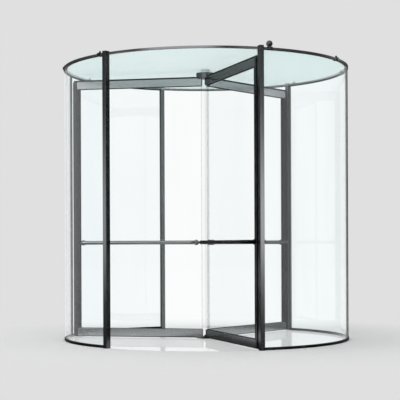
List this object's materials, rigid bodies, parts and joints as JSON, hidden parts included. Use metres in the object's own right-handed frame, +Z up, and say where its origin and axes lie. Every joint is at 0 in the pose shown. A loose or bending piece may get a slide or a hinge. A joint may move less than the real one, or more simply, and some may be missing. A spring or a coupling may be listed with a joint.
{
  "type": "revolving door",
  "caption": "All-glass revolving door: bent glass walls, posts and a glass ceiling round a turning set of framed glass wings with push bars.",
  "frame": {"origin": "on the finished floor, on the axis that the wings turn about", "axes": "+Z up along the turning axis; the passage runs along Y with the front entrance at -Y; +X to the right of a person facing the front entrance"},
  "size_m": [2.8096, 2.8098, 2.7315],
  "materials": {
    "wall_glass": "clear bent laminated glass",
    "wing_glass": "clear toughened glass",
    "ceiling_glass": "pale green laminated glass",
    "frame_metal": "dark anodised satin",
    "track_metal": "black anodised satin",
    "fitting_metal": "blackened steel",
    "bar_steel": "dark brushed tube",
    "brush": "black nylon bristle",
    "sensor_shell": "dark gloss shell"
  },
  "bodies": {
    "enclosure": {"back_left_post": "frame_metal", "back_right_post": "frame_metal", "back_rim": "track_metal", "ceiling_boss": "fitting_metal", "ceiling_cap": "fitting_metal", "ceiling_glass": "ceiling_glass", "floor_pivot": "fitting_metal", "front_left_post": "frame_metal", "front_right_post": "frame_metal", "front_rim": "track_metal", "left_base_track": "track_metal", "left_ceiling_clamps": "fitting_metal", "left_rim": "track_metal", "left_wall_glass_1": "wall_glass", "left_wall_glass_2": "wall_glass", "movement_sensor": "sensor_shell", "right_base_track": "track_metal", "right_ceiling_clamps": "fitting_metal", "right_rim": "track_metal", "right_wall_glass_1": "wall_glass", "right_wall_glass_2": "wall_glass", "sensor_saddle": "fitting_metal"},
    "rotor": {"wing_1_bottom_rail": "frame_metal", "wing_1_brushes": "brush", "wing_1_glass": "wing_glass", "wing_1_glazing_channel": "frame_metal", "wing_1_push_bars": "bar_steel", "wing_1_stile": "frame_metal", "wing_1_top_rail": "frame_metal", "wing_2_bottom_rail": "frame_metal", "wing_2_brushes": "brush", "wing_2_glass": "wing_glass", "wing_2_glazing_channel": "frame_metal", "wing_2_push_bars": "bar_steel", "wing_2_stile": "frame_metal", "wing_2_top_rail": "frame_metal", "wing_3_bottom_rail": "frame_metal", "wing_3_brushes": "brush", "wing_3_glass": "wing_glass", "wing_3_glazing_channel": "frame_metal", "wing_3_push_bars": "bar_steel", "wing_3_stile": "frame_metal", "wing_3_top_rail": "frame_metal", "top_hub": "fitting_metal", "foot_plate": "fitting_metal"}
  },
  "joints": [
    {"name": "rotor_turn", "type": "hinge", "parent": "enclosure", "child": "rotor", "pos_m": [0, 0, 0], "axis": [0, 0, 1], "continuous": true}
  ]
}
